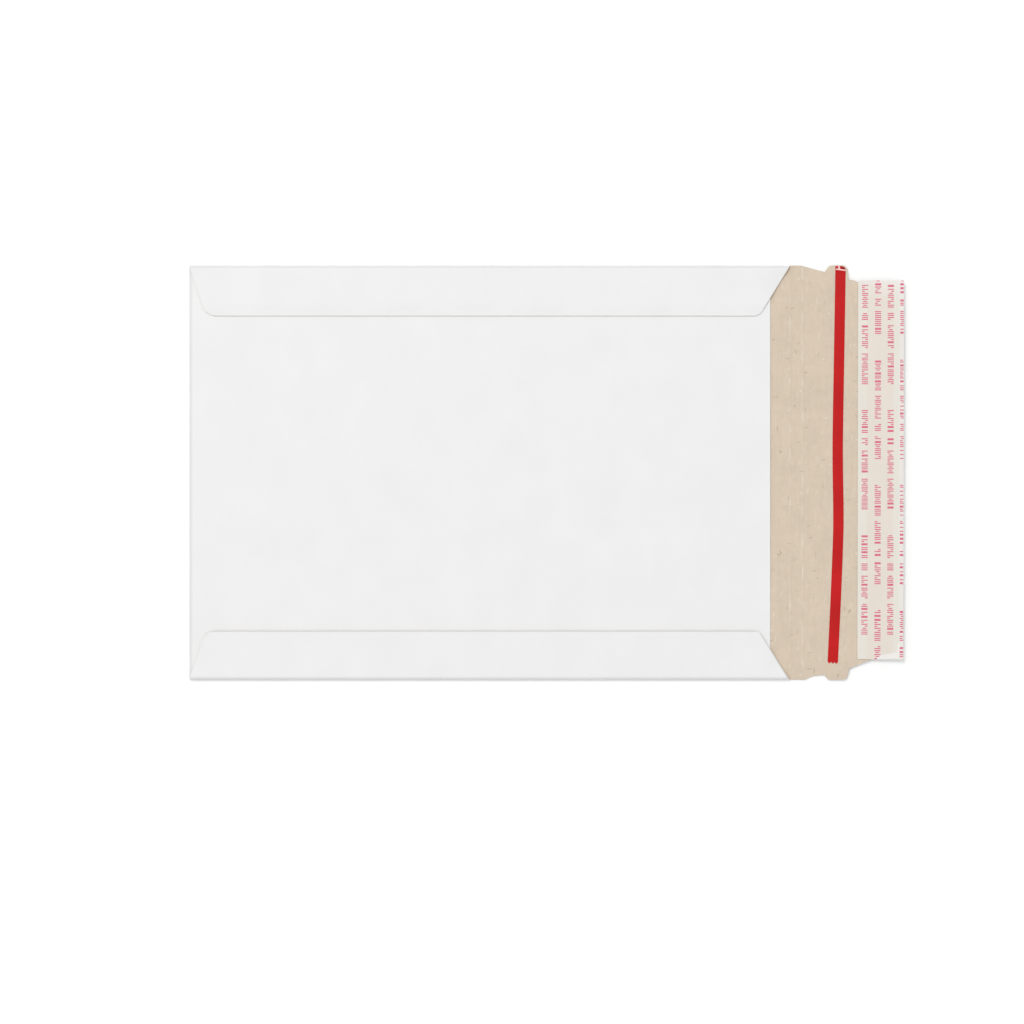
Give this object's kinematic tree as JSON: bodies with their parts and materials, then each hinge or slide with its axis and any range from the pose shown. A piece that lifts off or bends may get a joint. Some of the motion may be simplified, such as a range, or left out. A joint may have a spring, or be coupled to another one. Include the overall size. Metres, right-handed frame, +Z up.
{
  "type": "cardboard envelope",
  "caption": "Rigid card mailing envelope, open, with glued side laps, a peel-and-seal flap, a red tear strip and a release liner.",
  "frame": {"origin": "centre of the bounding box's footprint, on the face that the envelope lies on", "axes": "+X from the bottom fold towards the free edge of the closing flap, +Z up out of the seam side, +Y towards the left side as seen from the seam side with the flap at the top"},
  "size_m": [0.2794, 0.162, 0.003],
  "materials": {
    "white_board": "matt white-lined solid board, grey-brown inside",
    "seam_glue": "dried glue film",
    "red_film": "glossy film tape",
    "flap_adhesive": "clear tacky film",
    "release_paper": "smooth silicone-coated release paper"
  },
  "bodies": {
    "root": {"folded_board": "white_board", "left_seam_glue": "seam_glue", "right_seam_glue": "seam_glue", "tear_strip": "red_film", "flap_adhesive": "flap_adhesive", "release_liner": "release_paper"}
  },
  "joints": []
}
